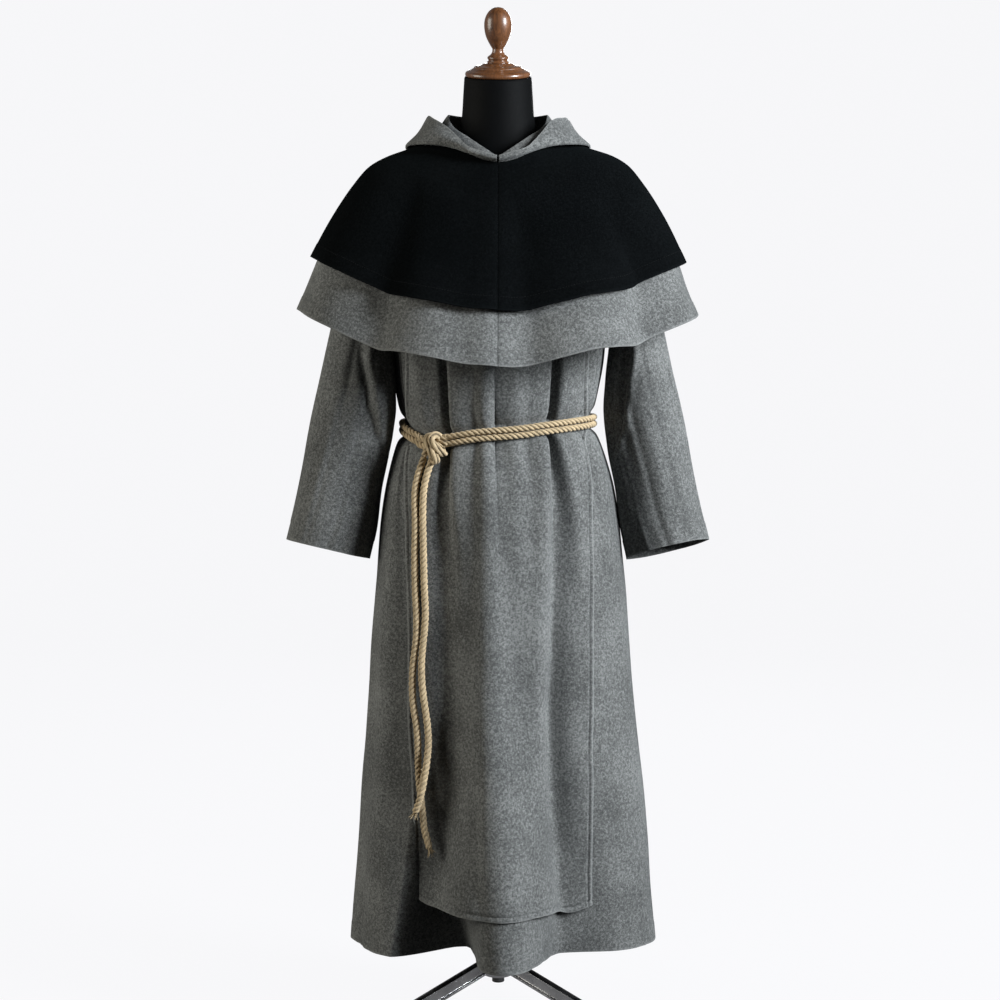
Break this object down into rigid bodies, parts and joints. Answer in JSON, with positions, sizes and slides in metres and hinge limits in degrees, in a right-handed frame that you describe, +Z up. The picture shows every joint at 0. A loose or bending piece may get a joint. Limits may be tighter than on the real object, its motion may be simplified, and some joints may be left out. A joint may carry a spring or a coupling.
{
  "type": "monk habit on dress form stand",
  "caption": "Ankle-length wool tunic with sleeves, front and back panel, layered shoulder capes, a hood worn down and a knotted rope belt, on a limbless form with pole and splayed legs.",
  "frame": {"origin": "on the floor, under the middle of the part's box", "axes": "+Z up, the garment's front faces -Y, +X to the right as seen from the front"},
  "size_m": [0.7481, 0.5459, 1.8032],
  "materials": {
    "grey_wool": "felted melange wool, matt",
    "black_wool": "felted wool, matt with a faint sheen",
    "jute_rope": "laid three-strand rope, slightly hairy",
    "black_jersey": "smooth knit cover",
    "turned_wood": "varnished",
    "polished_steel": "polished",
    "foot_rubber": "matt"
  },
  "bodies": {
    "root": {"tunic_front": "grey_wool", "tunic_back": "grey_wool", "scapular_front": "grey_wool", "scapular_back": "grey_wool", "sleeve_left": "grey_wool", "sleeve_right": "grey_wool", "cape_lower_left": "grey_wool", "cape_lower_right": "grey_wool", "hood_left": "grey_wool", "hood_right": "grey_wool", "cape_upper_left": "black_wool", "cape_upper_right": "black_wool", "belt_upper": "jute_rope", "belt_lower": "jute_rope", "belt_knot": "jute_rope", "rope_tail_long": "jute_rope", "rope_tail_short": "jute_rope", "form_torso": "black_jersey", "form_neck_cap": "turned_wood", "form_finial": "turned_wood", "form_pole": "polished_steel", "tripod_hub": "polished_steel", "tripod_leg_right": "polished_steel", "tripod_leg_back": "polished_steel", "tripod_leg_left": "polished_steel", "tripod_foot_right": "foot_rubber", "tripod_foot_back": "foot_rubber", "tripod_foot_left": "foot_rubber"}
  },
  "joints": []
}
